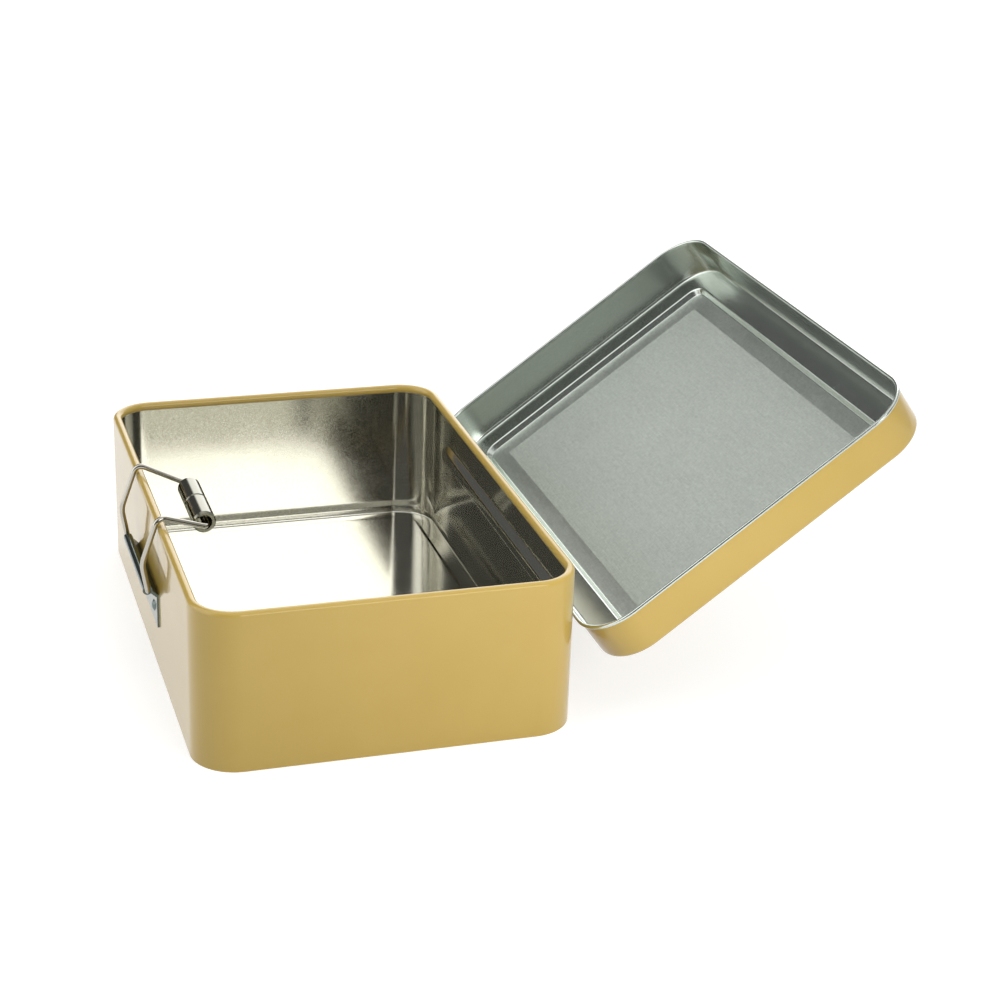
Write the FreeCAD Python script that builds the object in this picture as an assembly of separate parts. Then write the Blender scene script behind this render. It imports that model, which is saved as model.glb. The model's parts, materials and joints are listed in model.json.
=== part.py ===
import FreeCAD, Part
import math
import os

from FreeCAD import Base

# Hinged tin box: a rounded rectangular body of thin steel sheet with a rolled rim, a shallow lid that
# swings on a pin along the back wall, and a wire bail latch with a roller on the front wall.
# Frame: +X along the hinge, -Y the latch side, +Y the hinge side, +Z up.
# The origin is the middle of the underside. All sizes are in millimetres.

# body
LENGTH = 205.0              # along the hinge
WIDTH = 135.0               # from the latch wall to the hinge wall
HEIGHT = 59.0               # from the underside to the top of the rolled rim
CORNER_R = 16.0             # outer corner radius in plan
SHEET = 0.3                 # body and lid sheet
BEAD_R = 1.7                # rolled rim, outer radius
BEAD_TURN = 290.0           # degrees of sheet in the roll
FLANGE_H = 2.6              # turned-up edge of the bottom panel
FLANGE_BEND_R = 0.9
CHANNEL_W = 7.0             # flat ring of the bottom, from the wall to the step
BOTTOM_RISE = 1.6           # step up to the raised middle of the bottom
BOTTOM_STEP_RUN = 1.8
BOTTOM_STEP_R = 0.7

# groove pressed into the hinge wall
GROOVE_LENGTH = 136.0
GROOVE_DEPTH = 3.0
GROOVE_MOUTH = 8.0
GROOVE_FLOOR = 4.0

# lid
LID_DEPTH = 17.5            # from the rim to the top of the ledge
LID_SIDE_GAP = 2.0          # lid outline beyond the body at each end
LID_SEAT_GAP = 0.3           # shut lid above the body's rim
LID_SWING_GAP = 0.3         # hem past the front rim while the lid swings
HEM_R = 0.75
SKIRT_INSET = 0.9           # skirt face behind the hem outline
SHOULDER_R = 1.8
LEDGE_W = 11.1              # from the skirt face to the step
STEP_RUN = 1.4
PANEL_RISE = 3.3            # raised middle of the lid
STEP_R = 0.8
OPEN_ANGLE = 143.8          # from shut to the stop

# hinge
PIN_R = 0.9
PIN_FIT = 0.06              # radial running clearance of the lid knuckles
PIN_HOLD = 0.02             # radial clearance of the body knuckles
KNUCKLE_T = 0.5
PIN_WALL_GAP = 0.2          # body knuckles off the wall
PIN_DROP = 3.25             # pin below the rim of the shut lid
HINGE_LENGTH = 120.0
HINGE_END_KNUCKLE = 16.0
HINGE_MID_KNUCKLE = 24.0
KNUCKLE_GAP = 0.4
PIN_OVERHANG = 1.0
LEAF_T = 0.5
LEAF_GAP = 0.5              # lid leaf off the wall
LEAF_HEM_GAP = 0.5          # lid leaf inside the hem
LEAF_H = 10.0               # leaf above the rim of the shut lid
LEAF_JOG = 0.8
BRACKET_T = 0.5
BRACKET_BELOW = 9.3         # bracket below the pin
STOP_GAP = 0.3              # hem above the stop at full opening
STOP_T = 0.5
STOP_REACH = 2.1            # stop tab past the pin

# latch
WIRE_R = 1.02
LEG_SPAN = 52.0             # between the two legs, wire middle to wire middle
PIVOT_OUT = 3.9             # latch pivot off the front wall
PIVOT_DROP = 25.4           # latch pivot below the top of the rim
BARREL_T = 0.7
BARREL_FIT = 0.05
PLATE_T = 0.7
PLATE_FOOT_DROP = 15.2      # plate's lower edge below the pivot
PLATE_BEND_DROP = 3.2       # plate leaves the wall this far below the pivot
RIVET_R = 2.3
RIVET_H = 0.9
RIVET_DROP = 9.4           # rivets below the pivot
RIVET_SPACING = 34.0
LEG_RIM_GAP = 0.3           # resting leg off the rolled rim
LEG_LEAN = 19.2             # degrees, leg from upright where it passes the rim
KNEE_BELOW = 14.2            # knee below the rim, along the leg
ELBOW_ABOVE = 4.5           # elbow above the rim, along the leg
TUBE_IN = 18.1              # roller inside the elbow
TUBE_BELOW = 7.5            # roller below the elbow
FOOT_BEND_R = 1.8
KNEE_BEND_R = 10.0
ELBOW_BEND_R = 3.0
TUBE_BEND_R = 2.2
TUBE_R = 4.25
TUBE_LENGTH = 34.0          # both halves together
TUBE_TO_LEG = 3.8           # roller end to the corner of the wire
TUBE_FIT = 0.05
TUBE_MOUTH_R = 2.8
TUBE_MOUTH_DEPTH = 5.0
TUBE_SEAM = 0.1             # between the two halves
TUBE_EDGE = 0.6

# derived places
SHUT_RIM_Z = HEIGHT + LID_SEAT_GAP + SHEET - LID_DEPTH
KNUCKLE_R = PIN_R + KNUCKLE_T
PIN_Y = WIDTH / 2 + PIN_WALL_GAP + KNUCKLE_R
PIN_Z = SHUT_RIM_Z - PIN_DROP
LID_BACK_GAP = LEAF_GAP + LEAF_T + LEAF_HEM_GAP + 2 * HEM_R


def front_swing():
    """How far the hem moves towards the hinge while it climbs to the middle of the rolled rim."""
    arm = WIDTH / 2 + PIN_Y + HEM_R
    start = SHUT_RIM_Z + HEM_R - PIN_Z
    finish = HEIGHT - BEAD_R - PIN_Z
    return arm - math.sqrt(arm * arm + start * start - finish * finish)


LID_FRONT_GAP = 2 * HEM_R + front_swing() + LID_SWING_GAP
LID_LENGTH = LENGTH + 2 * LID_SIDE_GAP
LID_WIDTH = WIDTH + LID_FRONT_GAP + LID_BACK_GAP
LID_MIDDLE_Y = (LID_BACK_GAP - LID_FRONT_GAP) / 2
LID_CORNER_R = CORNER_R + LID_SIDE_GAP
PIVOT_Y = -WIDTH / 2 - PIVOT_OUT
PIVOT_Z = HEIGHT - PIVOT_DROP
PLATE_FOOT_Z = PIVOT_Z - PLATE_FOOT_DROP
PLATE_BEND_Z = PIVOT_Z - PLATE_BEND_DROP
RIVET_Z = PIVOT_Z - RIVET_DROP
LEG_X = LEG_SPAN / 2
TUBE_CORNER_X = TUBE_LENGTH / 2 + TUBE_TO_LEG

X_AXIS = Base.Vector(1, 0, 0)


def unit(vector):
    """A copy of the vector, one millimetre long."""
    return vector * (1.0 / vector.Length)


def rounded_path(corners, radii, closed):
    """Edges through the corners, with a tangent arc of the given radius at each inner one."""
    count = len(corners)
    edges = []
    last = None
    first = None
    for index, corner in enumerate(corners):
        ends_here = not closed and index in (0, count - 1)
        radius = 0 if ends_here else radii[index]
        if radius <= 0:
            entry = exit_point = corner
        else:
            before = unit(corners[index - 1] - corner)
            after = unit(corners[(index + 1) % count] - corner)
            half = before.getAngle(after) / 2
            entry = corner + before * (radius / math.tan(half))
            exit_point = corner + after * (radius / math.tan(half))
            middle_dir = unit(before + after)
            middle = corner + middle_dir * (radius / math.sin(half) - radius)
        if last is not None and (entry - last).Length > 1e-6:
            edges.append(Part.LineSegment(last, entry).toShape())
        if first is None:
            first = entry
        if radius > 0:
            edges.append(Part.Arc(entry, middle, exit_point).toShape())
        last = exit_point
    if closed and (first - last).Length > 1e-6:
        edges.append(Part.LineSegment(last, first).toShape())
    return Part.Wire(edges)


def rectangle_path(length, width, radius, middle_y, z):
    """A closed rounded rectangle that starts in the middle of its +X side."""
    x = length / 2
    y = width / 2
    corners = [
        Base.Vector(x, middle_y, z),
        Base.Vector(x, middle_y + y, z),
        Base.Vector(-x, middle_y + y, z),
        Base.Vector(-x, middle_y - y, z),
        Base.Vector(x, middle_y - y, z),
    ]
    return rounded_path(corners, [0, radius, radius, radius, radius], True)


def ring(section, length, width, radius, middle_y):
    """Sweep a closed section, drawn at the +X side, round the rounded rectangle."""
    path = rectangle_path(length, width, radius, middle_y, 0)
    return Part.Wire(path).makePipeShell([section], True, False)


def plate(length, width, radius, inset, z, thickness, middle_y):
    """A flat rounded plate whose edge is inset from the outline."""
    inner_r = max(radius - inset, 0.5)
    outline = rectangle_path(length - 2 * inset, width - 2 * inset, inner_r, middle_y, z)
    return Part.Face(outline).extrude(Base.Vector(0, 0, thickness))


def section_point(length, middle_y, inset, z):
    """A point of a section at the +X side, measured in from the outline."""
    return Base.Vector(length / 2 - inset, middle_y, z)


def sheet_section(length, middle_y, insets_and_heights, radii, thickness):
    """A bent strip: one face through the given points, the other offset to its left."""
    outer = [section_point(length, middle_y, n, z) for n, z in insets_and_heights]
    count = len(outer)
    inner = []
    for index in range(count):
        before = unit(outer[index] - outer[index - 1]) if index > 0 else None
        after = unit(outer[index + 1] - outer[index]) if index < count - 1 else None
        before = before or after
        after = after or before
        normal_a = Base.Vector(before.z, 0, -before.x)
        normal_b = Base.Vector(after.z, 0, -after.x)
        bisector = unit(normal_a + normal_b)
        inner.append(outer[index] - bisector * (thickness / bisector.dot(normal_a)))
    inner_radii = []
    for index in range(count):
        if radii[index] == 0 or index in (0, count - 1):
            inner_radii.append(0)
            continue
        turn = (outer[index] - outer[index - 1]).cross(outer[index + 1] - outer[index]).y
        inner_radii.append(radii[index] + (thickness if turn < 0 else -thickness))
    corners = outer + inner[::-1]
    return rounded_path(corners, list(radii) + inner_radii[::-1], True)


def prism(points, x_start, x_end):
    """Extrude an outline of (y, z) points along X."""
    corners = [Base.Vector(x_start, y, z) for y, z in points]
    face = Part.Face(Part.makePolygon(corners + corners[:1]))
    return face.extrude(Base.Vector(x_end - x_start, 0, 0))


def rod(radius, y, z, x_start, x_end):
    """A round bar along X."""
    return Part.makeCylinder(radius, x_end - x_start, Base.Vector(x_start, y, z), X_AXIS)


def wall_section():
    """The body wall with its rim rolled inwards."""
    turn = math.radians(BEAD_TURN)
    inner_r = BEAD_R - SHEET

    def roll_point(radius, angle):
        inset = BEAD_R - radius * math.cos(angle)
        return section_point(LENGTH, 0, inset, HEIGHT - BEAD_R + radius * math.sin(angle))

    foot_out = section_point(LENGTH, 0, 0, 0)
    foot_in = section_point(LENGTH, 0, SHEET, 0)
    edges = [
        Part.LineSegment(foot_out, roll_point(BEAD_R, 0)).toShape(),
        Part.Arc(roll_point(BEAD_R, 0), roll_point(BEAD_R, turn / 2), roll_point(BEAD_R, turn)).toShape(),
        Part.LineSegment(roll_point(BEAD_R, turn), roll_point(inner_r, turn)).toShape(),
        Part.Arc(roll_point(inner_r, turn), roll_point(inner_r, turn / 2), roll_point(inner_r, 0)).toShape(),
        Part.LineSegment(roll_point(inner_r, 0), foot_in).toShape(),
        Part.LineSegment(foot_in, foot_out).toShape(),
    ]
    return Part.Wire(edges)


def groove_outline(depth_extra, height_extra, back_y):
    """The groove's section at the hinge wall, from back_y in to its floor."""
    floor_y = WIDTH / 2 - GROOVE_DEPTH - depth_extra
    slope = (GROOVE_MOUTH - GROOVE_FLOOR) / 2 / GROOVE_DEPTH
    floor_half = GROOVE_FLOOR / 2 + height_extra
    back_half = floor_half + slope * (back_y - floor_y)
    return [
        (back_y, PIN_Z - back_half),
        (floor_y, PIN_Z - floor_half),
        (floor_y, PIN_Z + floor_half),
        (back_y, PIN_Z + back_half),
    ]


def make_body_wall():
    """Wall and rolled rim, with the groove pressed into the hinge side."""
    wall = ring(wall_section(), LENGTH, WIDTH, CORNER_R, 0)
    half = GROOVE_LENGTH / 2
    skin = prism(groove_outline(SHEET, SHEET, WIDTH / 2 - SHEET / 2), -half, half)
    recess = prism(groove_outline(0, 0, WIDTH / 2 + 1), -half + SHEET, half - SHEET)
    return wall.fuse(skin).cut(recess).removeSplitter()


def make_body_bottom():
    """Bottom panel: edge turned up inside the wall, flat ring, raised middle."""
    edge = SHEET
    step_start = edge + CHANNEL_W
    step_end = step_start + BOTTOM_STEP_RUN
    panel_edge = step_end + 3 * BOTTOM_STEP_R
    points = [
        (edge, FLANGE_H),
        (edge, 0),
        (step_start, 0),
        (step_end, BOTTOM_RISE),
        (panel_edge, BOTTOM_RISE),
    ]
    radii = [0, FLANGE_BEND_R, BOTTOM_STEP_R, BOTTOM_STEP_R, 0]
    rim = ring(sheet_section(LENGTH, 0, points, radii, -SHEET), LENGTH, WIDTH, CORNER_R, 0)
    middle = plate(LENGTH, WIDTH, CORNER_R, panel_edge, BOTTOM_RISE, SHEET, 0)
    return rim.fuse(middle).removeSplitter()


def lid_pose(shape):
    """Swing a shape made for the shut lid to the open stop."""
    shape = shape.copy()
    shape.rotate(Base.Vector(0, PIN_Y, PIN_Z), X_AXIS, -OPEN_ANGLE)
    return shape


def make_lid_pan():
    """Lid: hem, skirt, ledge round the edge and raised middle."""
    top = SHUT_RIM_Z + LID_DEPTH
    hem_z = SHUT_RIM_Z + HEM_R
    step_start = SKIRT_INSET + LEDGE_W
    step_end = step_start + STEP_RUN
    panel_edge = step_end + 3 * STEP_R
    points = [
        (SKIRT_INSET, hem_z),
        (SKIRT_INSET, top),
        (step_start, top),
        (step_end, top + PANEL_RISE),
        (panel_edge, top + PANEL_RISE),
    ]
    radii = [0, SHOULDER_R, STEP_R, STEP_R, 0]
    section = sheet_section(LID_LENGTH, LID_MIDDLE_Y, points, radii, SHEET)
    pan = ring(section, LID_LENGTH, LID_WIDTH, LID_CORNER_R, LID_MIDDLE_Y)
    hem_middle = section_point(LID_LENGTH, LID_MIDDLE_Y, HEM_R, hem_z)
    hem_circle = Part.Wire(Part.Circle(hem_middle, Base.Vector(0, 1, 0), HEM_R).toShape())
    hem = ring(hem_circle, LID_LENGTH, LID_WIDTH, LID_CORNER_R, LID_MIDDLE_Y)
    middle = plate(LID_LENGTH, LID_WIDTH, LID_CORNER_R, panel_edge,
                   top + PANEL_RISE - SHEET, SHEET, LID_MIDDLE_Y)
    return lid_pose(pan.fuse([hem, middle]).removeSplitter())


def body_knuckles():
    """X ranges of the knuckles on the body."""
    half = HINGE_LENGTH / 2
    middle = HINGE_MID_KNUCKLE / 2
    return [(-half, -half + HINGE_END_KNUCKLE), (-middle, middle), (half - HINGE_END_KNUCKLE, half)]


def lid_knuckles():
    """X ranges of the knuckles on the lid, between those of the body."""
    spans = body_knuckles()
    return [(a[1] + KNUCKLE_GAP, b[0] - KNUCKLE_GAP) for a, b in zip(spans, spans[1:])]


def hem_at_stop():
    """Middle of the back hem when the lid is open, as (y, z)."""
    angle = math.radians(-OPEN_ANGLE)
    y = WIDTH / 2 + LID_BACK_GAP - HEM_R - PIN_Y
    z = SHUT_RIM_Z + HEM_R - PIN_Z
    return (PIN_Y + y * math.cos(angle) - z * math.sin(angle),
            PIN_Z + y * math.sin(angle) + z * math.cos(angle))


def make_hinge_bracket():
    """Strip on the hinge wall with three knuckles and two stop tabs under the open lid's hem."""
    back = WIDTH / 2
    face = back + BRACKET_T
    foot = PIN_Z - BRACKET_BELOW
    stop_top = hem_at_stop()[1] - HEM_R - STOP_GAP
    half = HINGE_LENGTH / 2
    bracket = prism([(back, foot), (face, foot), (face, stop_top), (back, stop_top)], -half, half)
    for start, end in body_knuckles():
        strip = prism([(back, foot), (face, foot), (face, PIN_Z), (back, PIN_Z)], start, end)
        bracket = bracket.fuse([strip, rod(KNUCKLE_R, PIN_Y, PIN_Z, start, end)])
        bracket = bracket.cut(rod(PIN_R + PIN_HOLD, PIN_Y, PIN_Z, start - 1, end + 1))
    tip = PIN_Y + STOP_REACH
    for start, end in lid_knuckles():
        tab = prism([(back, stop_top - STOP_T), (tip, stop_top - STOP_T), (tip, stop_top),
                     (back, stop_top)], start, end)
        bracket = bracket.fuse(tab)
    return bracket.removeSplitter()


def make_hinge_pin():
    """Straight pin through all the knuckles."""
    reach = HINGE_LENGTH / 2 + PIN_OVERHANG
    return rod(PIN_R, PIN_Y, PIN_Z, -reach, reach)


def make_lid_leaf(start, end):
    """Strip inside the lid's skirt that steps past the hem and rolls round the pin."""
    low = WIDTH / 2 + LEAF_GAP
    high = WIDTH / 2 + LID_BACK_GAP - SKIRT_INSET - SHEET - LEAF_T
    jog_z = SHUT_RIM_Z + 2 * HEM_R + PIN_FIT
    top = SHUT_RIM_Z + LEAF_H
    strip = prism([
        (low, PIN_Z), (low + LEAF_T, PIN_Z), (low + LEAF_T, jog_z),
        (high + LEAF_T, jog_z + LEAF_JOG), (high + LEAF_T, top), (high, top),
        (high, jog_z + LEAF_JOG), (low, jog_z),
    ], start, end)
    leaf = strip.fuse(rod(KNUCKLE_R, PIN_Y, PIN_Z, start, end))
    leaf = leaf.cut(rod(PIN_R + PIN_FIT, PIN_Y, PIN_Z, start - 1, end + 1))
    return lid_pose(leaf.removeSplitter())


def make_latch_plate():
    """Plate on the front wall, bent out and rolled into a barrel for the wire."""
    wall = -WIDTH / 2
    barrel_r = WIRE_R + BARREL_FIT + BARREL_T
    half = LEG_X - FOOT_BEND_R
    grip = barrel_r - 0.2
    low = math.radians(-50)
    high = math.radians(-6)
    sheet = prism([
        (wall, PLATE_FOOT_Z),
        (wall - PLATE_T, PLATE_FOOT_Z),
        (wall - PLATE_T, PLATE_BEND_Z),
        (PIVOT_Y + grip * math.cos(low), PIVOT_Z + grip * math.sin(low)),
        (PIVOT_Y + grip * math.cos(high), PIVOT_Z + grip * math.sin(high)),
        (wall, PLATE_BEND_Z + PLATE_T),
    ], -half, half)
    barrel = sheet.fuse(rod(barrel_r, PIVOT_Y, PIVOT_Z, -half, half))
    return barrel.cut(rod(WIRE_R + BARREL_FIT, PIVOT_Y, PIVOT_Z, -half - 1, half + 1)).removeSplitter()


def make_latch_rivet(side):
    """Low domed rivet head on the latch plate."""
    face = -WIDTH / 2 - PLATE_T
    dome_r = (RIVET_R * RIVET_R + RIVET_H * RIVET_H) / (2 * RIVET_H)
    middle = Base.Vector(side * RIVET_SPACING / 2, face + dome_r - RIVET_H, RIVET_Z)
    ball = Part.makeSphere(dome_r, middle)
    reach = 2 * RIVET_R
    keep = Part.makeBox(2 * reach, RIVET_H + 1, 2 * reach,
                        Base.Vector(middle.x - reach, face - RIVET_H - 1, RIVET_Z - reach))
    return ball.common(keep)


def wire_corners():
    """Corners of the bail, as (x, y, z), from one wire end round to the other."""
    lean = math.radians(LEG_LEAN)
    off = BEAD_R + WIRE_R + LEG_RIM_GAP
    pass_y = -WIDTH / 2 + BEAD_R - off * math.cos(lean)
    pass_z = HEIGHT - BEAD_R + off * math.sin(lean)
    knee = (pass_y - KNEE_BELOW * math.sin(lean), pass_z - KNEE_BELOW * math.cos(lean))
    elbow = (pass_y + ELBOW_ABOVE * math.sin(lean), pass_z + ELBOW_ABOVE * math.cos(lean))
    tube = (elbow[0] + TUBE_IN, elbow[1] - TUBE_BELOW)
    side = [
        (TUBE_SEAM / 2, tube[0], tube[1]),
        (TUBE_CORNER_X, tube[0], tube[1]),
        (LEG_X, elbow[0], elbow[1]),
        (LEG_X, knee[0], knee[1]),
        (LEG_X, PIVOT_Y, PIVOT_Z),
    ]
    mirrored = [(-x, y, z) for x, y, z in side]
    return side + mirrored[::-1]


def make_latch_wire():
    """Wire bail: pivot in the barrel, two legs over the rim, both ends in the roller."""
    corners = [Base.Vector(*point) for point in wire_corners()]
    side = [0, TUBE_BEND_R, ELBOW_BEND_R, KNEE_BEND_R, FOOT_BEND_R]
    path = rounded_path(corners, side + side[::-1], False)
    circle = Part.Wire(Part.Circle(corners[0], X_AXIS, WIRE_R).toShape())
    return path.makePipeShell([circle], True, False)


def make_latch_tube(side):
    """One half of the roller, with a wider mouth at its outer end."""
    _, y, z = wire_corners()[0]
    start = TUBE_SEAM / 2
    end = TUBE_LENGTH / 2
    tube = rod(TUBE_R, y, z, start, end)
    rims = [edge for edge in tube.Edges if edge.Closed]
    tube = tube.makeChamfer(TUBE_EDGE, rims)
    tube = tube.cut(rod(WIRE_R + TUBE_FIT, y, z, start - 1, end + 1))
    tube = tube.cut(rod(TUBE_MOUTH_R, y, z, end - TUBE_MOUTH_DEPTH, end + 1))
    if side < 0:
        tube = tube.mirror(Base.Vector(0, 0, 0), X_AXIS)
    return tube


def build():
    """All nodes by name."""
    leaf_spans = lid_knuckles()
    return {
        "body_wall": make_body_wall(),
        "body_bottom": make_body_bottom(),
        "hinge_bracket": make_hinge_bracket(),
        "hinge_pin": make_hinge_pin(),
        "lid_pan": make_lid_pan(),
        "lid_leaf_a": make_lid_leaf(*leaf_spans[0]),
        "lid_leaf_b": make_lid_leaf(*leaf_spans[1]),
        "latch_plate": make_latch_plate(),
        "latch_rivet_a": make_latch_rivet(-1),
        "latch_rivet_b": make_latch_rivet(1),
        "latch_wire": make_latch_wire(),
        "latch_tube_a": make_latch_tube(-1),
        "latch_tube_b": make_latch_tube(1),
    }


os.makedirs("parts", exist_ok=True)
for node, shape in build().items():
    shape.exportStep("parts/" + node + ".step")
    box = shape.BoundBox
    print(node, "solids", len(shape.Solids), "valid", shape.isValid(), "volume", round(shape.Volume, 1),
          "box", [round(v, 2) for v in (box.XMin, box.XMax, box.YMin, box.YMax, box.ZMin, box.ZMax)])
print("pin", PIN_Y, PIN_Z, "lid gaps", LID_FRONT_GAP, LID_BACK_GAP, "shut rim", SHUT_RIM_Z)
print("pivot", PIVOT_Y, PIVOT_Z, "tube", wire_corners()[0])
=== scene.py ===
import json
import math
from collections import namedtuple

import bpy
from mathutils import Euler, Matrix, Vector


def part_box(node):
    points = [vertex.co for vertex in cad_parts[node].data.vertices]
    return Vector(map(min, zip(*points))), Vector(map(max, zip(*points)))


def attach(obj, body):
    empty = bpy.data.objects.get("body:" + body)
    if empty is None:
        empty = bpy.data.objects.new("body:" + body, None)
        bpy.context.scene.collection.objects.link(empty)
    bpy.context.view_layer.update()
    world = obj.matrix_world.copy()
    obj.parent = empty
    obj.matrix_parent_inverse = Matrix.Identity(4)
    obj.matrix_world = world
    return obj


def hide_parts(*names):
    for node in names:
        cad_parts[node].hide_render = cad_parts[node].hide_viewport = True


bl_info = {
    "name": "Hinged Tin Box",
    "version": (1, 0, 0),
    "blender": (4, 5, 0),
    "location": "3D View > Sidebar > Tin Box",
    "description": "A hinged tin box with a wire bail latch, and the studio it stands in",
    "category": "Object",
}

MM = 0.001
TOUCH = 0.01 * MM  # places nearer than this count as one

# how many steps draw each kind of round
CORNER_STEPS = 20
BEND_STEPS = 6
RIM_STEPS = 36
HEM_STEPS = 16

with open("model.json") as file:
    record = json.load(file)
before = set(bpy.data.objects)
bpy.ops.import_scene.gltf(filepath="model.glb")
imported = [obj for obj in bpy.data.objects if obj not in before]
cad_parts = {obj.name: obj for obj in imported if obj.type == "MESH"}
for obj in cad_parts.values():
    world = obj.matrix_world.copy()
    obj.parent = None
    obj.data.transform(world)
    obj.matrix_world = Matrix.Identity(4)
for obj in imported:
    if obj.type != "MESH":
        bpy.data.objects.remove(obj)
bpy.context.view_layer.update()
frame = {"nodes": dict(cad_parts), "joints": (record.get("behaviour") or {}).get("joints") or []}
HINGE = next(joint for joint in frame["joints"] if joint["name"] == "lid_hinge")


def span(node):
    """Length, width and height of a CAD node, in metres."""
    low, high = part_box(node)
    return high - low


# ---------------------------------------------------------------- sizes and colours


class TinBodySizes(bpy.types.PropertyGroup):
    length: bpy.props.FloatProperty(
        name="Length", description="Body length along the hinge",
        default=span("body_wall").x, unit="LENGTH")
    width: bpy.props.FloatProperty(
        name="Width", description="Body width from the latch wall to the hinge wall",
        default=span("body_wall").y, unit="LENGTH")
    height: bpy.props.FloatProperty(
        name="Height", description="Body height to the top of the rolled rim",
        default=span("body_wall").z, unit="LENGTH")
    corner: bpy.props.FloatProperty(
        name="Corner radius", description="Outer corner radius in plan",
        default=16.0 * MM, unit="LENGTH")
    sheet: bpy.props.FloatProperty(
        name="Sheet", description="Thickness of the tinplate",
        default=0.3 * MM, unit="LENGTH")
    rim_radius: bpy.props.FloatProperty(
        name="Rim radius", description="Outer radius of the rolled rim",
        default=1.7 * MM, unit="LENGTH")
    rim_turn: bpy.props.FloatProperty(
        name="Rim turn", description="How far the rim is rolled round",
        default=math.radians(290), subtype="ANGLE")
    groove_length: bpy.props.FloatProperty(
        name="Groove length", description="Pressed groove on the hinge wall",
        default=136.0 * MM, unit="LENGTH")
    groove_depth: bpy.props.FloatProperty(
        name="Groove depth", description="How far the groove is pressed in",
        default=3.0 * MM, unit="LENGTH")
    groove_mouth: bpy.props.FloatProperty(
        name="Groove mouth", description="Height of the groove at the wall",
        default=8.0 * MM, unit="LENGTH")
    groove_floor: bpy.props.FloatProperty(
        name="Groove floor", description="Height of the groove's flat floor",
        default=4.0 * MM, unit="LENGTH")
    groove_bend: bpy.props.FloatProperty(
        name="Groove bend", description="Width of the groove's soft pressed edges",
        default=0.7 * MM, unit="LENGTH")


class TinBottomSizes(bpy.types.PropertyGroup):
    flange: bpy.props.FloatProperty(
        name="Flange", description="Height of the turned-up edge",
        default=2.6 * MM, unit="LENGTH")
    flange_bend: bpy.props.FloatProperty(
        name="Flange bend", description="Outer radius of the turned-up edge",
        default=0.9 * MM, unit="LENGTH")
    ring: bpy.props.FloatProperty(
        name="Ring", description="Width of the flat ring that the box stands on",
        default=7.0 * MM, unit="LENGTH")
    rise: bpy.props.FloatProperty(
        name="Rise", description="Step up to the raised middle",
        default=1.6 * MM, unit="LENGTH")
    step_run: bpy.props.FloatProperty(
        name="Step run", description="Width of the sloping step",
        default=1.8 * MM, unit="LENGTH")
    step_bend: bpy.props.FloatProperty(
        name="Step bend", description="Bend radius of the step",
        default=0.7 * MM, unit="LENGTH")


class TinLidSizes(bpy.types.PropertyGroup):
    length: bpy.props.FloatProperty(
        name="Length", description="Lid length along the hinge",
        default=span("lid_pan").x, unit="LENGTH")
    front_gap: bpy.props.FloatProperty(
        name="Front gap", description="Lid outline beyond the latch wall when shut",
        default=2.986 * MM, unit="LENGTH")
    back_gap: bpy.props.FloatProperty(
        name="Back gap", description="Lid outline beyond the hinge wall when shut",
        default=3.0 * MM, unit="LENGTH")
    shut_rim: bpy.props.FloatProperty(
        name="Shut rim", description="Height of the lid's rim when shut",
        default=42.1 * MM, unit="LENGTH")
    depth: bpy.props.FloatProperty(
        name="Depth", description="From the rim to the ledge",
        default=17.5 * MM, unit="LENGTH")
    hem_radius: bpy.props.FloatProperty(
        name="Hem radius", description="Radius of the rolled hem",
        default=0.75 * MM, unit="LENGTH")
    skirt_inset: bpy.props.FloatProperty(
        name="Skirt inset", description="Skirt face behind the hem's outline",
        default=0.9 * MM, unit="LENGTH")
    shoulder: bpy.props.FloatProperty(
        name="Shoulder", description="Bend radius between skirt and ledge",
        default=1.8 * MM, unit="LENGTH")
    ledge: bpy.props.FloatProperty(
        name="Ledge", description="Width of the flat ledge round the lid",
        default=11.1 * MM, unit="LENGTH")
    rise: bpy.props.FloatProperty(
        name="Rise", description="Height of the raised middle above the ledge",
        default=3.3 * MM, unit="LENGTH")
    step_rise: bpy.props.FloatProperty(
        name="Step rise", description="Height of the steep step below the sloping border",
        default=2.3 * MM, unit="LENGTH")
    step_run: bpy.props.FloatProperty(
        name="Step run", description="Width of the step to the raised middle",
        default=1.4 * MM, unit="LENGTH")
    slope_width: bpy.props.FloatProperty(
        name="Slope width", description="Faintly sloping border inside the step",
        default=7.3 * MM, unit="LENGTH")
    step_bend: bpy.props.FloatProperty(
        name="Step bend", description="Bend radius of the step",
        default=0.8 * MM, unit="LENGTH")


class TinColours(bpy.types.PropertyGroup):
    enamel: bpy.props.StringProperty(
        name="Enamel", description="Cream-gold stoved enamel, sRGB hex", default="B99D50")
    enamel_deep: bpy.props.StringProperty(
        name="Enamel, deeper", description="Where the enamel lies a little thicker",
        default="B5994A")
    tinplate: bpy.props.StringProperty(
        name="Tinplate", description="Bare tinplate, sRGB hex", default="D3D2C8")
    tinplate_dull: bpy.props.StringProperty(
        name="Tinplate, dull", description="Duller grains of the tin", default="C2C1B8")
    lid_tinplate: bpy.props.StringProperty(
        name="Lid tinplate", description="Tinplate inside the lid, sRGB hex", default="D3D9D1")
    lid_tinplate_dull: bpy.props.StringProperty(
        name="Lid tinplate, dull", description="Duller grains of the lid's tin", default="BEC5BE")
    wire: bpy.props.StringProperty(
        name="Wire", description="Nickel-plated wire, sRGB hex", default="B4B0A5")
    roller: bpy.props.StringProperty(
        name="Roller", description="Nickel-plated roller, sRGB hex", default="8F8E82")
    # the plate's dark teal-grey is painted shade: the nickel is drawn far darker than the wire's to stand
    # for the shade the plate lies in
    plate: bpy.props.StringProperty(
        name="Plate", description="Darkened latch plate and rivets, sRGB hex", default="6A7673")
    floor: bpy.props.StringProperty(
        name="Floor", description="Studio floor, sRGB hex", default="B8B8B8")


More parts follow.
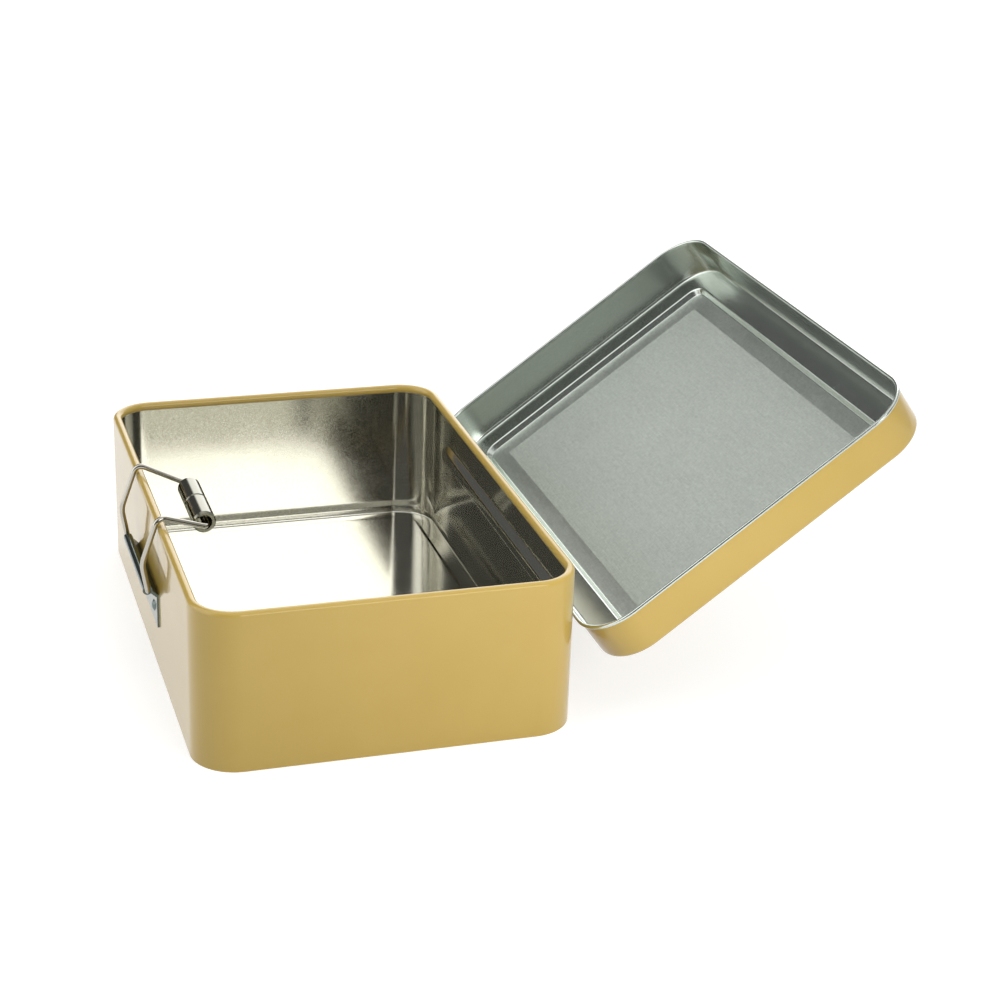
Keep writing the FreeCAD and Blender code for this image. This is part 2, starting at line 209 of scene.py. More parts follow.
class TinStage(bpy.types.PropertyGroup):
    camera_place: bpy.props.FloatVectorProperty(
        name="Camera", description="Camera position",
        default=(730.1 * MM, -168.2 * MM, 366.7 * MM), subtype="XYZ", unit="LENGTH")
    camera_turn: bpy.props.FloatVectorProperty(
        name="Camera turn", description="Camera rotation",
        default=(math.radians(67.315), math.radians(-1.912), math.radians(72.861)),
        subtype="EULER")
    lens: bpy.props.FloatProperty(
        name="Lens", description="Focal length on a 36 mm sensor", default=77.75)
    key_power: bpy.props.FloatProperty(
        name="Key", description="Power of the softbox to the right of the camera",
        default=0.45, unit="POWER")
    top_power: bpy.props.FloatProperty(
        name="Top", description="Power of the overhead softbox",
        default=0.6, unit="POWER")
    room_level: bpy.props.FloatProperty(
        name="Room", description="Level of the dark parts of the studio", default=0.04)


GROUPS = {
    "tin_body": TinBodySizes,
    "tin_bottom": TinBottomSizes,
    "tin_lid": TinLidSizes,
    "tin_colours": TinColours,
    "tin_stage": TinStage,
}


# ---------------------------------------------------------------- materials


def linear(hex_code):
    """An sRGB hex colour as linear red, green, blue and alpha."""
    values = [int(hex_code[i:i + 2], 16) / 255 for i in (0, 2, 4)]
    return [v / 12.92 if v <= 0.04045 else ((v + 0.055) / 1.055) ** 2.4 for v in values] + [1.0]


def add_node(tree, kind, settings=None, values=None, links=None):
    """Add a node, set its properties, put values on its sockets and link others to them."""
    node = tree.nodes.new(kind)
    for name, value in (settings or {}).items():
        setattr(node, name, value)
    for socket, value in (values or {}).items():
        node.inputs[socket].default_value = value
    for socket, source in (links or {}).items():
        tree.links.new(source, node.inputs[socket])
    return node


def new_material(name):
    """A node material with only its output, and its tree and that output."""
    material = bpy.data.materials.get(name)
    if material is None:
        material = bpy.data.materials.new(name)
    material.use_nodes = True
    tree = material.node_tree
    tree.nodes.clear()
    return material, tree, add_node(tree, "ShaderNodeOutputMaterial")


def stoved_enamel():
    """Stoved enamel on tinplate: an opaque gloss coat with a clear sheen and a faint orange peel."""
    colours = bpy.context.scene.tin_colours
    material, tree, output = new_material("stoved_enamel")
    place = add_node(tree, "ShaderNodeTexCoord").outputs["Object"]
    # the coat's thickness drifts over about 40 mm, which shifts its colour a little
    cloud = add_node(tree, "ShaderNodeTexNoise", {},
                     {"Scale": 1 / (40 * MM), "Detail": 3.0, "Roughness": 0.6}, {"Vector": place})
    drift = add_node(tree, "ShaderNodeMapRange", {}, {"From Min": 0.3, "From Max": 0.7},
                     {"Value": cloud.outputs["Fac"]})
    tint = add_node(tree, "ShaderNodeMix", {"data_type": "RGBA"},
                    {6: linear(colours.enamel), 7: linear(colours.enamel_deep)},
                    {0: drift.outputs["Result"]})
    # orange peel about 1.5 mm across and a few micrometres deep
    peel = add_node(tree, "ShaderNodeTexNoise", {},
                    {"Scale": 1 / (1.5 * MM), "Detail": 1.0, "Roughness": 0.6}, {"Vector": place})
    relief = add_node(tree, "ShaderNodeBump", {}, {"Strength": 0.25, "Distance": 0.004 * MM},
                      {"Height": peel.outputs["Fac"]})
    shader = add_node(tree, "ShaderNodeBsdfPrincipled", {},
                      {"Roughness": 0.32, "IOR": 1.5, "Specular IOR Level": 0.2,
                       "Coat Weight": 0.7, "Coat Roughness": 0.03, "Coat IOR": 1.5},
                      {"Base Color": tint.outputs[2], "Normal": relief.outputs["Normal"]})
    tree.links.new(shader.outputs[0], output.inputs["Surface"])
    return material


def bare_tinplate(name, bright, dull, roughness, grain_size, grain_depth):
    """Bare rolled tinplate: grey-white metal with fine grains and faint rolling lines."""
    material, tree, output = new_material(name)
    place = add_node(tree, "ShaderNodeTexCoord").outputs["Object"]
    grain = add_node(tree, "ShaderNodeTexNoise", {},
                     {"Scale": 1 / grain_size, "Detail": 3.0, "Roughness": 0.6}, {"Vector": place})
    # rolling lines run along the sheet and are drawn 0.5 mm apart so that they show
    along = add_node(tree, "ShaderNodeMapping", {}, {"Scale": (0.06, 1.0, 1.0)}, {"Vector": place})
    lines = add_node(tree, "ShaderNodeTexNoise", {},
                     {"Scale": 1 / (0.5 * MM), "Detail": 2.0, "Roughness": 0.6},
                     {"Vector": along.outputs["Vector"]})
    mixed = add_node(tree, "ShaderNodeMath", {"operation": "MULTIPLY_ADD"}, {1: 0.5},
                     {0: lines.outputs["Fac"], 2: grain.outputs["Fac"]})
    brightness = add_node(tree, "ShaderNodeMapRange", {}, {"From Min": 0.5, "From Max": 1.0},
                          {"Value": mixed.outputs[0]})
    tint = add_node(tree, "ShaderNodeMix", {"data_type": "RGBA"},
                    {6: linear(dull), 7: linear(bright)}, {0: brightness.outputs["Result"]})
    # each grain is a little rougher or smoother, and so are patches about 25 mm across
    grain_rough = add_node(tree, "ShaderNodeMapRange", {},
                           {"From Min": 0.3, "From Max": 0.7,
                            "To Min": roughness - 0.04, "To Max": roughness + 0.04},
                           {"Value": grain.outputs["Fac"]})
    patches = add_node(tree, "ShaderNodeTexNoise", {},
                       {"Scale": 1 / (25 * MM), "Detail": 2.0, "Roughness": 0.6}, {"Vector": place})
    patch_rough = add_node(tree, "ShaderNodeMapRange", {},
                           {"From Min": 0.3, "From Max": 0.7, "To Min": -0.02, "To Max": 0.02},
                           {"Value": patches.outputs["Fac"]})
    rough = add_node(tree, "ShaderNodeMath", {"operation": "ADD"}, {},
                     {0: grain_rough.outputs["Result"], 1: patch_rough.outputs["Result"]})
    relief = add_node(tree, "ShaderNodeBump", {}, {"Strength": 0.5, "Distance": grain_depth},
                      {"Height": mixed.outputs[0]})
    shader = add_node(tree, "ShaderNodeBsdfPrincipled", {}, {"Metallic": 1.0},
                      {"Base Color": tint.outputs[2], "Roughness": rough.outputs[0],
                       "Normal": relief.outputs["Normal"]})
    tree.links.new(shader.outputs[0], output.inputs["Surface"])
    return material


def bright_nickel(name, hex_code, roughness):
    """Nickel plate over steel: a bright warm grey mirror with slight drawing marks."""
    material, tree, output = new_material(name)
    place = add_node(tree, "ShaderNodeTexCoord").outputs["Object"]
    # drawing marks are far finer than 0.8 mm, and are drawn that coarse so that they show
    marks = add_node(tree, "ShaderNodeTexNoise", {},
                     {"Scale": 1 / (0.8 * MM), "Detail": 2.0, "Roughness": 0.6}, {"Vector": place})
    rough = add_node(tree, "ShaderNodeMapRange", {},
                     {"From Min": 0.3, "From Max": 0.7,
                      "To Min": roughness - 0.03, "To Max": roughness + 0.04},
                     {"Value": marks.outputs["Fac"]})
    relief = add_node(tree, "ShaderNodeBump", {}, {"Strength": 0.3, "Distance": 0.006 * MM},
                      {"Height": marks.outputs["Fac"]})
    shader = add_node(tree, "ShaderNodeBsdfPrincipled", {},
                      {"Metallic": 1.0, "Base Color": linear(hex_code)},
                      {"Roughness": rough.outputs["Result"], "Normal": relief.outputs["Normal"]})
    tree.links.new(shader.outputs[0], output.inputs["Surface"])
    return material


def body_tinplate():
    """The body keeps the sheet's bright finish, almost a mirror, with grains about 0.6 mm across."""
    colours = bpy.context.scene.tin_colours
    return bare_tinplate("bright_rolled_tinplate", colours.tinplate, colours.tinplate_dull,
                         0.12, 0.6 * MM, 0.0006 * MM)


def drawn_lid_tinplate():
    """Where the press has stretched the lid's sheet, its grain is rubbed smooth and it mirrors more."""
    colours = bpy.context.scene.tin_colours
    return bare_tinplate("drawn_lid_tinplate", colours.lid_tinplate, colours.lid_tinplate_dull,
                         0.22, 0.6 * MM, 0.002 * MM)


def stone_finish_tinplate():
    """The lid's flat middle keeps its stone finish: matt, with grains drawn 1.2 mm across to show."""
    colours = bpy.context.scene.tin_colours
    return bare_tinplate("stone_finish_tinplate", colours.lid_tinplate, colours.lid_tinplate_dull,
                         0.6, 1.2 * MM, 0.12 * MM)


def stretched_tinplate():
    """The border round the middle is stretched a little, so its stone finish is half rubbed off."""
    colours = bpy.context.scene.tin_colours
    return bare_tinplate("stretched_tinplate", colours.lid_tinplate, colours.lid_tinplate_dull,
                         0.4, 1.2 * MM, 0.015 * MM)


def hinge_tinplate():
    """Heavier tinplate that the hinge strip and leaves are pressed from, a little dulled."""
    colours = bpy.context.scene.tin_colours
    return bare_tinplate("hinge_strip_tinplate", colours.tinplate, colours.tinplate_dull,
                         0.3, 0.6 * MM, 0.004 * MM)


# ---------------------------------------------------------------- modelling by hand


def start_point(name, place):
    """A new object in edit mode with one selected vertex, its origin at the world's."""
    bpy.ops.object.select_all(action="DESELECT")
    bpy.ops.mesh.primitive_plane_add(size=1 * MM, location=(0, 0, 0))
    obj = bpy.context.object
    obj.name = name
    obj.data.name = name
    bpy.ops.object.mode_set(mode="EDIT")
    bpy.ops.mesh.select_mode(type="VERT")
    bpy.ops.mesh.select_all(action="SELECT")
    bpy.ops.mesh.merge(type="CENTER")
    bpy.ops.transform.translate(value=place)
    return obj


def draw_section(name, points):
    """Extrude one vertex along the points of a section."""
    points = [Vector(point) for point in points]
    obj = start_point(name, points[0])
    for before, after in zip(points, points[1:]):
        bpy.ops.mesh.extrude_region_move(TRANSFORM_OT_translate={"value": after - before})
    bpy.ops.mesh.select_all(action="SELECT")
    return obj


def arc(centre, radius, start, end, steps):
    """Points (inset, height) of an arc, in degrees, with both ends."""
    for i in range(steps + 1):
        angle = math.radians(start + (end - start) * i / steps)
        yield centre[0] + radius * math.cos(angle), centre[1] + radius * math.sin(angle)


def bent_line(points, radii):
    """The points with each inner one rounded to its radius."""
    points = [Vector(point) for point in points]
    out = [points[0]]
    for before, corner, after, radius in zip(points, points[1:], points[2:], radii):
        to_before = (before - corner).normalized()
        to_after = (after - corner).normalized()
        half = to_before.angle(to_after) / 2
        centre = corner + (to_before + to_after).normalized() * (radius / math.sin(half))
        first = corner + to_before * (radius / math.tan(half)) - centre
        last = corner + to_after * (radius / math.tan(half)) - centre
        turn = first.angle_signed(last)
        for i in range(BEND_STEPS + 1):
            out.append(centre + Matrix.Rotation(-turn * i / BEND_STEPS, 2) @ first)
    return out + [points[-1]]


def sweep_round(length, width, corner, middle_y):
    """Carry the selected section, drawn in the middle of the +X side, once round the rectangle."""
    x = length / 2 - corner
    y = width / 2 - corner
    runs = [
        ((0, y, 0), (x, middle_y + y, 0)),
        ((-2 * x, 0, 0), (-x, middle_y + y, 0)),
        ((0, -2 * y, 0), (-x, middle_y - y, 0)),
        ((2 * x, 0, 0), (x, middle_y - y, 0)),
    ]
    for run, centre in runs:
        bpy.ops.mesh.extrude_region_move(TRANSFORM_OT_translate={"value": run})
        bpy.ops.mesh.spin(steps=CORNER_STEPS, angle=-math.pi / 2, center=centre, axis=(0, 0, 1))
    bpy.ops.mesh.extrude_region_move(TRANSFORM_OT_translate={"value": (0, y, 0)})
    bpy.ops.mesh.select_all(action="SELECT")
    bpy.ops.mesh.remove_doubles(threshold=TOUCH)


def select_where(obj, test, mode="FACE"):
    """In edit mode, select only the faces, edges or vertices whose test holds."""
    bpy.ops.mesh.select_mode(type=mode)
    bpy.ops.mesh.select_all(action="DESELECT")
    bpy.ops.object.mode_set(mode="OBJECT")
    mesh = obj.data
    if mode == "VERT":
        for vertex in mesh.vertices:
            vertex.select = test(vertex.co)
    elif mode == "FACE":
        for face in mesh.polygons:
            face.select = test(face.center, face.normal)
    else:
        for edge in mesh.edges:
            ends = [mesh.vertices[i].co for i in edge.vertices]
            edge.select = test(*ends)
    bpy.ops.object.mode_set(mode="EDIT")


def face_outwards(obj, middle):
    """Turn the sheet's faces away from a point inside it, and leave edit mode."""
    bpy.ops.mesh.select_all(action="SELECT")
    bpy.ops.mesh.normals_make_consistent(inside=False)
    bpy.ops.object.mode_set(mode="OBJECT")
    outward = sum(face.area * face.normal.dot(face.center - Vector(middle))
                  for face in obj.data.polygons)
    if outward < 0:
        bpy.ops.object.mode_set(mode="EDIT")
        bpy.ops.mesh.select_all(action="SELECT")
        bpy.ops.mesh.flip_normals()
        bpy.ops.object.mode_set(mode="OBJECT")


def set_materials(obj, materials):
    """Give the object these material slots, in order."""
    obj.data.materials.clear()
    for material in materials:
        obj.data.materials.append(material)


def thicken(obj, thickness):
    """Give the sheet its thickness inwards, with the second material inside and on the cut edge."""
    bpy.context.view_layer.objects.active = obj
    solid = obj.modifiers.new("thickness", "SOLIDIFY")
    solid.thickness = thickness
    solid.offset = -1.0
    solid.use_even_offset = True
    solid.material_offset = 1
    solid.material_offset_rim = 1
    bpy.ops.object.modifier_apply(modifier=solid.name)


def smooth(obj):
    """Shade the object smooth, apart from edges that fold by more than 32 degrees."""
    bpy.ops.object.select_all(action="DESELECT")
    obj.select_set(True)
    bpy.context.view_layer.objects.active = obj
    bpy.ops.object.shade_smooth_by_angle(angle=math.radians(32))


def join(main, others):
    """Join other objects into the main one."""
    bpy.ops.object.select_all(action="DESELECT")
    for obj in others:
        obj.select_set(True)
    main.select_set(True)
    bpy.context.view_layer.objects.active = main
    bpy.ops.object.join()


def close_middle(obj, level):
    """Fill the middle that the sweep leaves open at this level."""
    bpy.ops.mesh.select_mode(type="EDGE")
    bpy.ops.mesh.select_all(action="DESELECT")
    bpy.ops.mesh.select_non_manifold()
    bpy.ops.object.mode_set(mode="OBJECT")
    for edge in obj.data.edges:
        ends = [obj.data.vertices[i].co.z for i in edge.vertices]
        edge.select = edge.select and max(abs(z - level) for z in ends) < TOUCH
    bpy.ops.object.mode_set(mode="EDIT")
    bpy.ops.mesh.edge_face_add()


def slope_to_panel(obj, width, level, half_x, half_y, middle_y):
    """Slope the filled middle up to a flat panel at this level, with mitred corners."""
    bpy.ops.mesh.select_mode(type="FACE")
    bpy.ops.mesh.inset(thickness=width)
    bpy.ops.object.mode_set(mode="OBJECT")
    before = max(face.center.z for face in obj.data.polygons if face.select)
    bpy.ops.object.mode_set(mode="EDIT")
    bpy.ops.transform.translate(value=(0, 0, level - before))
    # inset by more than its radius, each corner's arc has crossed over, and becomes one point
    reach = 5 * MM
    for side_x, side_y in ((1, 1), (1, -1), (-1, -1), (-1, 1)):
        corner = Vector((side_x * half_x, middle_y + side_y * half_y, level))
        select_where(obj, lambda p: (p - corner).length < reach and p.z > level - TOUCH, "VERT")
        bpy.ops.mesh.merge(type="CENTER")
        bpy.ops.object.mode_set(mode="OBJECT")
        merged = next(vertex.co.copy() for vertex in obj.data.vertices if vertex.select)
        bpy.ops.object.mode_set(mode="EDIT")
        bpy.ops.transform.translate(value=corner - merged)


def swing_open(obj):
    """Turn a piece modelled on the shut lid about the hinge to the open stop."""
    angle = -math.radians(HINGE["range_deg"][1])
    place = Matrix.Translation(HINGE["pos_m"])
    obj.matrix_world = place @ Matrix.Rotation(angle, 4, HINGE["axis"]) @ place.inverted()
    bpy.ops.object.select_all(action="DESELECT")
    obj.select_set(True)
    bpy.context.view_layer.objects.active = obj
    bpy.ops.object.transform_apply(location=True, rotation=True, scale=True)


# ---------------------------------------------------------------- pieces


class TIN_OT_body_wall(bpy.types.Operator):
    """Body wall: one sheet bent round, its rim rolled inwards, with the pressed groove at the back"""

    bl_idname = "tin.body_wall"
    bl_label = "Body Wall"

    def execute(self, context):
        body = context.scene.tin_body
        edge = body.length / 2
        centre = (edge - body.rim_radius, body.height - body.rim_radius)
        roll = arc(centre, body.rim_radius, 0, math.degrees(body.rim_turn), RIM_STEPS)
        section = [(edge, 0, 0)] + [(x, 0, z) for x, z in roll]
        wall = draw_section("body_wall_sheet", section)
        sweep_round(body.length, body.width, body.corner, 0)
        face_outwards(wall, (0, 0, body.height * 0.4))
        self.press_groove(wall, body)
        set_materials(wall, [stoved_enamel(), body_tinplate()])
        thicken(wall, body.sheet)
        smooth(wall)
        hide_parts("body_wall")
        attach(wall, "box")
        return {"FINISHED"}

    def press_groove(self, wall, body):
        """Cut the groove's mouth in the hinge wall, push it in, narrow its floor and soften its edges."""
        middle = HINGE["pos_m"][2]
        half_x = body.groove_length / 2
        half_z = body.groove_mouth / 2
        back = body.width / 2
        floor_y = back - body.groove_depth

        def on_back(centre, normal):
            return centre.y > back - TOUCH and normal.y > 0.99

        bpy.ops.object.mode_set(mode="EDIT")
        cuts = [((half_x, 0, 0), (1, 0, 0)), ((-half_x, 0, 0), (1, 0, 0)),
                ((0, 0, middle + half_z), (0, 0, 1)), ((0, 0, middle - half_z), (0, 0, 1))]
        for place, normal in cuts:
            select_where(wall, on_back)
            bpy.ops.mesh.bisect(plane_co=place, plane_no=normal)
        select_where(wall, lambda centre, normal: on_back(centre, normal)
                     and abs(centre.x) < half_x and abs(centre.z - middle) < half_z)
        bpy.ops.mesh.extrude_region_move(TRANSFORM_OT_translate={"value": (0, floor_y - back, 0)})
        narrowed = (1 - 2 * body.sheet / body.groove_length, 1, body.groove_floor / body.groove_mouth)
        bpy.ops.transform.resize(value=narrowed, center_override=(0, floor_y, middle))

        def pressed(a, b):
            """Whether an edge is a level one of the groove's mouth or floor."""
            level = abs(a.z - b.z) < TOUCH and abs(a.y - b.y) < TOUCH
            at_step = abs(a.y - floor_y) < TOUCH or abs(a.y - back) < TOUCH
            slack = 0.1 * MM
            return (level and at_step and abs(a.z - middle) < half_z + slack
                    and max(abs(a.x), abs(b.x)) < half_x + slack)

        select_where(wall, pressed, "EDGE")
        bpy.ops.mesh.bevel(offset=body.groove_bend, segments=3)
        bpy.ops.object.mode_set(mode="OBJECT")


class TIN_OT_body_bottom(bpy.types.Operator):
    """Bottom panel: turned-up edge, flat ring and raised middle"""

    bl_idname = "tin.body_bottom"
    bl_label = "Bottom Panel"

    def execute(self, context):
        sizes = context.scene.tin_bottom
        body = context.scene.tin_body
        inset = body.sheet
        step_start = inset + sizes.ring
        step_end = step_start + sizes.step_run
        flat_end = step_end + 3 * sizes.step_bend
        line = bent_line([(inset, sizes.flange), (inset, 0), (step_start, 0),
                          (step_end, sizes.rise), (flat_end, sizes.rise)],
                         [sizes.flange_bend, sizes.step_bend, sizes.step_bend])
        section = [(body.length / 2 - n, 0, z) for n, z in line]
        bottom = draw_section("body_bottom_panel", section)
        sweep_round(body.length, body.width, body.corner, 0)
        close_middle(bottom, sizes.rise)
        # a point far above the panel: its faces turn down and out
        face_outwards(bottom, (0, 0, 500 * MM))
        set_materials(bottom, [stoved_enamel(), body_tinplate()])
        thicken(bottom, body.sheet)
        smooth(bottom)
        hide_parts("body_bottom")
        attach(bottom, "box")
        return {"FINISHED"}


class TIN_OT_lid_pan(bpy.types.Operator):
    """Lid: rolled hem, skirt, ledge and raised middle, modelled shut and swung to its stop"""

    bl_idname = "tin.lid_pan"
    bl_label = "Lid"

    def execute(self, context):
        lid = context.scene.tin_lid
        body = context.scene.tin_body
        width = body.width + lid.front_gap + lid.back_gap
        middle_y = (lid.back_gap - lid.front_gap) / 2
        corner = body.corner + (lid.length - body.length) / 2
        pan = self.draw_pan(lid, body, width, middle_y, corner)
        hem = self.draw_hem(lid, width, middle_y, corner)
        join(pan, [hem])
        swing_open(pan)
        smooth(pan)
        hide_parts("lid_pan")
        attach(pan, "lid")
        return {"FINISHED"}

    def draw_pan(self, lid, body, width, middle_y, corner):
        """The pressed pan, from the hem's middle up over the ledge to the raised middle."""
        top = lid.shut_rim + lid.depth
        step_start = lid.skirt_inset + lid.ledge
        step_end = step_start + lid.step_run
        step_top = top + lid.step_rise
        # the sweep stops a little way up the slope, because the corner's radius is used up further in
        slope_start = 1 * MM
        slope_rise = (lid.rise - lid.step_rise) * slope_start / lid.slope_width
        line = bent_line([(lid.skirt_inset, lid.shut_rim + lid.hem_radius), (lid.skirt_inset, top),
                          (step_start, top), (step_end, step_top),
                          (step_end + slope_start, step_top + slope_rise)],
                         [lid.shoulder, lid.step_bend, lid.step_bend])
        section = [(lid.length / 2 - n, middle_y, z) for n, z in line]
        pan = draw_section("lid_pan_sheet", section)
        sweep_round(lid.length, width, corner, middle_y)
        close_middle(pan, step_top + slope_rise)
        flat_start = step_end + lid.slope_width
        slope_to_panel(pan, lid.slope_width - slope_start, top + lid.rise,
                       lid.length / 2 - flat_start, width / 2 - flat_start, middle_y)
        face_outwards(pan, (0, 0, 0))
        set_materials(pan, [stoved_enamel(), drawn_lid_tinplate(),
                            stone_finish_tinplate(), stretched_tinplate()])
        thicken(pan, body.sheet)
        # the flat middle and the border inside the step keep more of the sheet's matt grain
        for face in pan.data.polygons:
            if face.normal.z < -0.98 and face.center.z > step_top - body.sheet:
                flat = face.normal.z < -0.999
                face.material_index = 2 if flat else 3
        return pan

    def draw_hem(self, lid, width, middle_y, corner):
        """The round hem along the rim."""
        centre = (lid.length / 2 - lid.hem_radius, lid.shut_rim + lid.hem_radius)
        ring = arc(centre, lid.hem_radius, 0, 360, HEM_STEPS)
        hem = draw_section("lid_hem", [(x, middle_y, z) for x, z in ring])
        bpy.ops.mesh.remove_doubles(threshold=TOUCH)
        sweep_round(lid.length, width, corner, middle_y)
        bpy.ops.mesh.normals_make_consistent(inside=False)
        bpy.ops.object.mode_set(mode="OBJECT")
        set_materials(hem, [drawn_lid_tinplate()])
        return hem


class TIN_OT_hinge(bpy.types.Operator):
    """Hinge strip, pin and leaves, kept as made and given their finish"""

    bl_idname = "tin.hinge"
    bl_label = "Hinge"

    def execute(self, context):
        steel = hinge_tinplate()
        for node in ("hinge_bracket", "lid_leaf_a", "lid_leaf_b"):
            set_materials(frame["nodes"][node], [steel])
        pin = bright_nickel("drawn_hinge_pin", context.scene.tin_colours.wire, 0.2)
        set_materials(frame["nodes"]["hinge_pin"], [pin])
        return {"FINISHED"}


class TIN_OT_latch(bpy.types.Operator):
    """Latch plate, rivets, wire bail and roller"""

    bl_idname = "tin.latch"
    bl_label = "Latch"

    def execute(self, context):
        colours = context.scene.tin_colours
        # the plate and rivets get painted shade: their nickel colour is darkened to stand for the shade
        # they lie in
        plate = bright_nickel("nickel_plated_strip_painted_shade", colours.plate, 0.16)
        roller = bright_nickel("nickel_plated_tube", colours.roller, 0.14)
        wire = bright_nickel("nickel_plated_wire", colours.wire, 0.1)
        for node in ("latch_plate", "latch_rivet_a", "latch_rivet_b"):
            set_materials(frame["nodes"][node], [plate])
        for node in ("latch_tube_a", "latch_tube_b"):
            set_materials(frame["nodes"][node], [roller])
        set_materials(frame["nodes"]["latch_wire"], [wire])
        return {"FINISHED"}


# What stands round the object: patches of the studio that each add a level of light. In degrees, a card
# has its bearing from +X, half its width and its soft sides, and its lowest and highest elevation with
# their soft ends.
Card = namedtuple("Card", "name bearing half_width soft_side lowest highest soft_end level")

CARDS = [
    Card("white_sweep", 151, 30, 5, -10, 60, 10, 2.3),
    Card("white_card", 18, 14, 4, 12, 40, 4, 3.6),
    Card("room_left", 205, 24, 6, 0, 60, 6, 0.08),
    Card("room_behind_camera", -26, 24, 5, 5, 60, 5, 0.1),
    Card("latch_side", -96, 32, 10, -10, 60, 12, 1.9),
    Card("hinge_side", 85, 32, 12, -10, 60, 12, 0.5),
    Card("overhead", 0, 180, 1, 58, 100, 12, 1.05),
]


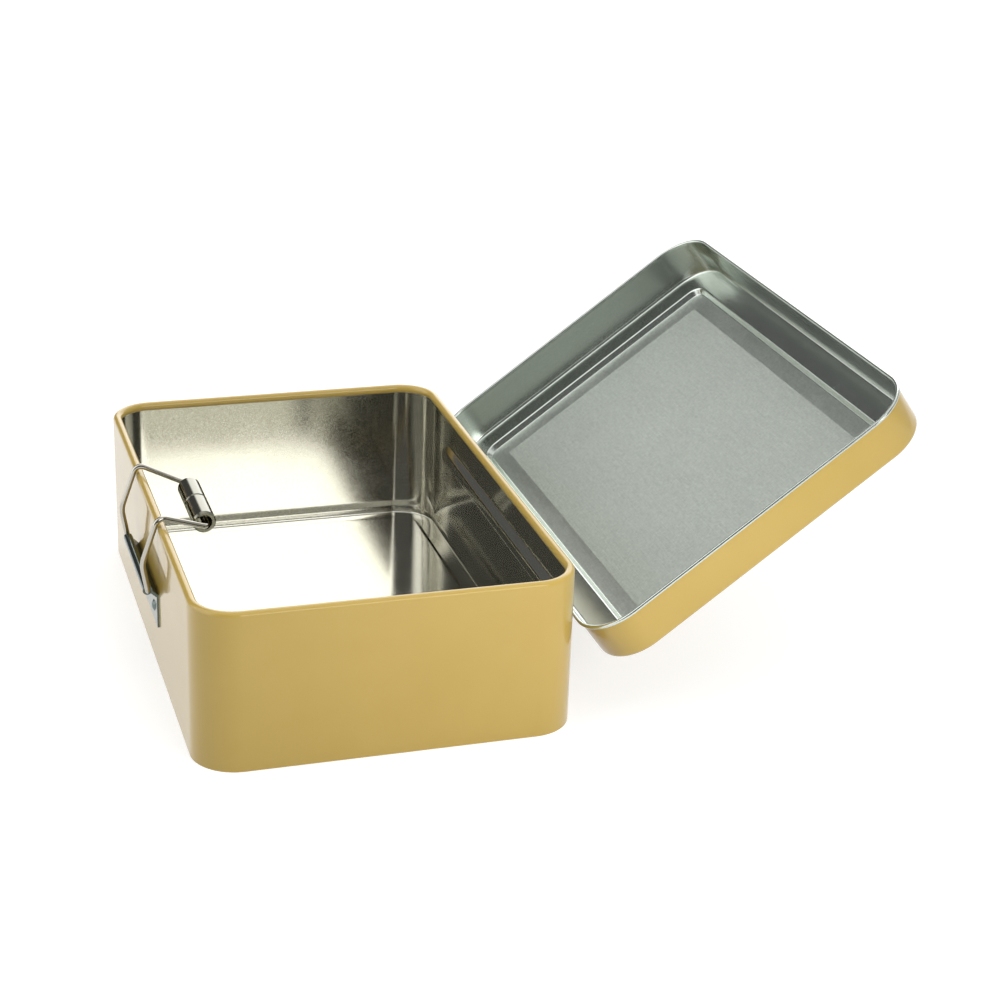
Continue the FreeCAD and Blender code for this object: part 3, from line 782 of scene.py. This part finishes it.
class TIN_OT_stage(bpy.types.Operator):
    """Floor, softboxes, world and camera"""

    bl_idname = "tin.stage"
    bl_label = "Stage"

    def execute(self, context):
        scene = context.scene
        stage = scene.tin_stage
        scene.view_settings.view_transform = "Standard"
        self.add_floor(scene)
        self.add_world(scene, stage)
        self.add_softbox("key_softbox", stage.key_power, side=0.12,
                         place=(0.33, 0.13, 0.12), target=(0.1, 0, 0.03))
        self.add_softbox("top_softbox", stage.top_power, side=0.9,
                         place=(-0.2, -0.1, 1.1), target=(0, 0.05, 0.03))
        self.add_camera(scene, stage)
        return {"FINISHED"}

    def add_camera(self, scene, stage):
        """The camera, at its place and turn on a 36 mm wide sensor."""
        data = bpy.data.cameras.new("camera")
        data.sensor_width = 36
        data.lens = stage.lens
        camera = bpy.data.objects.new("camera", data)
        camera.location = stage.camera_place
        camera.rotation_euler = Euler(stage.camera_turn, "XYZ")
        scene.collection.objects.link(camera)
        scene.camera = camera

    def add_floor(self, scene):
        """A pale paper floor that also shows pale to the camera and in mirrors."""
        bpy.ops.object.select_all(action="DESELECT")
        bpy.ops.mesh.primitive_plane_add(size=12, location=(0, 0, 0))
        floor = bpy.context.object
        floor.name = "studio_floor"
        material, tree, output = new_material("studio_floor_white")
        path = add_node(tree, "ShaderNodeLightPath")
        seen = add_node(tree, "ShaderNodeMath", {"operation": "MAXIMUM"}, {},
                        {0: path.outputs["Is Camera Ray"], 1: path.outputs["Is Glossy Ray"]})
        strength = add_node(tree, "ShaderNodeMath", {"operation": "MULTIPLY"}, {1: 0.65},
                            {0: seen.outputs[0]})
        paper = add_node(tree, "ShaderNodeBsdfDiffuse", {},
                         {"Color": linear(scene.tin_colours.floor)})
        glow = add_node(tree, "ShaderNodeEmission", {}, {"Color": (1, 1, 1, 1)},
                        {"Strength": strength.outputs[0]})
        both = add_node(tree, "ShaderNodeAddShader", {}, {},
                        {0: paper.outputs[0], 1: glow.outputs[0]})
        tree.links.new(both.outputs[0], output.inputs["Surface"])
        floor.data.materials.append(material)

    def add_world(self, scene, stage):
        """White to the camera. To the object, a studio of pale cards in a dark room."""
        world = bpy.data.worlds.new("studio_world")
        scene.world = world
        world.use_nodes = True
        tree = world.node_tree
        tree.nodes.clear()
        way = add_node(tree, "ShaderNodeTexCoord").outputs["Generated"]
        level_way = add_node(tree, "ShaderNodeVectorMath", {"operation": "MULTIPLY"},
                             {1: (1, 1, 0)}, {0: way})
        flat_way = add_node(tree, "ShaderNodeVectorMath", {"operation": "NORMALIZE"}, {},
                            {0: level_way.outputs[0]}).outputs[0]
        height = add_node(tree, "ShaderNodeSeparateXYZ", {}, {}, {0: way}).outputs["Z"]
        total = None
        for card in CARDS:
            total = self.add_card(tree, flat_way, height, card, total, stage.room_level)
        path = add_node(tree, "ShaderNodeLightPath")
        seen = add_node(tree, "ShaderNodeMath", {"operation": "MAXIMUM"}, {},
                        {0: path.outputs["Is Camera Ray"], 1: path.outputs["Is Transmission Ray"]})
        level = add_node(tree, "ShaderNodeMix", {"data_type": "FLOAT"}, {3: 1.0},
                         {0: seen.outputs[0], 2: total})
        glow = add_node(tree, "ShaderNodeBackground", {}, {"Color": (1, 1, 1, 1)},
                        {"Strength": level.outputs[0]})
        add_node(tree, "ShaderNodeOutputWorld", {}, {}, {"Surface": glow.outputs[0]})

    def add_card(self, tree, flat_way, height, card, total, room_level):
        """Add one card's level to the total of those before it, the first to the room's own level."""
        bearing = math.radians(card.bearing)
        facing = add_node(tree, "ShaderNodeVectorMath", {"operation": "DOT_PRODUCT"},
                          {1: (math.cos(bearing), math.sin(bearing), 0)},
                          {0: flat_way}).outputs["Value"]
        # each mask goes from none at its first number to full at its second
        masks = [(facing, math.cos(math.radians(min(card.half_width + card.soft_side, 180))),
                  math.cos(math.radians(card.half_width - card.soft_side)))]
        for limit, side in ((card.lowest, 1), (card.highest, -1)):
            none, full = (math.sin(math.radians(max(-90, min(90, limit + turn * card.soft_end))))
                          for turn in (-side, side))
            masks.append((height, none, full))
        product = None
        for source, none, full in masks:
            mask = add_node(tree, "ShaderNodeMapRange", {"interpolation_type": "SMOOTHSTEP"},
                            {"From Min": none, "From Max": full,
                             "To Max": card.level if product is None else 1.0},
                            {"Value": source}).outputs["Result"]
            if product is not None:
                mask = add_node(tree, "ShaderNodeMath", {"operation": "MULTIPLY"}, {},
                                {0: product, 1: mask}).outputs[0]
            product = mask
        added = add_node(tree, "ShaderNodeMath", {"operation": "ADD"}, {1: room_level}, {0: product})
        if total is not None:
            tree.links.new(total, added.inputs[1])
        return added.outputs[0]

    def add_softbox(self, name, power, side, place, target):
        """A square area lamp at a place, in metres, turned to its target and not seen itself."""
        data = bpy.data.lights.new(name, "AREA")
        data.shape = "SQUARE"
        data.size = side
        data.energy = power
        lamp = bpy.data.objects.new(name, data)
        lamp.visible_camera = False
        lamp.visible_glossy = False
        lamp.location = place
        towards = Vector(target) - Vector(place)
        lamp.rotation_euler = towards.to_track_quat("-Z", "Y").to_euler()
        bpy.context.scene.collection.objects.link(lamp)


OPERATORS = [TIN_OT_body_wall, TIN_OT_body_bottom, TIN_OT_lid_pan,
             TIN_OT_hinge, TIN_OT_latch, TIN_OT_stage]


class TIN_PT_sidebar(bpy.types.Panel):
    """Lists the pieces and their sizes"""

    bl_idname = "TIN_PT_sidebar"
    bl_label = "Tin Box"
    bl_space_type = "VIEW_3D"
    bl_region_type = "UI"
    bl_category = "Tin Box"

    def draw(self, context):
        layout = self.layout
        for operator in OPERATORS:
            layout.operator(operator.bl_idname)
        for name, group in GROUPS.items():
            box = layout.box()
            box.label(text=group.__name__)
            for size in group.__annotations__:
                box.prop(getattr(context.scene, name), size)


def register():
    for group in GROUPS.values():
        bpy.utils.register_class(group)
    for name, group in GROUPS.items():
        setattr(bpy.types.Scene, name, bpy.props.PointerProperty(type=group))
    for operator in OPERATORS:
        bpy.utils.register_class(operator)
    bpy.utils.register_class(TIN_PT_sidebar)


def unregister():
    bpy.utils.unregister_class(TIN_PT_sidebar)
    for operator in reversed(OPERATORS):
        bpy.utils.unregister_class(operator)
    for name in GROUPS:
        delattr(bpy.types.Scene, name)
    for group in GROUPS.values():
        bpy.utils.unregister_class(group)


def main():
    """Register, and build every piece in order."""
    register()
    bpy.ops.tin.body_wall()
    bpy.ops.tin.body_bottom()
    bpy.ops.tin.lid_pan()
    bpy.ops.tin.hinge()
    bpy.ops.tin.latch()
    bpy.ops.tin.stage()
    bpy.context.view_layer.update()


if __name__ == "__main__":
    main()
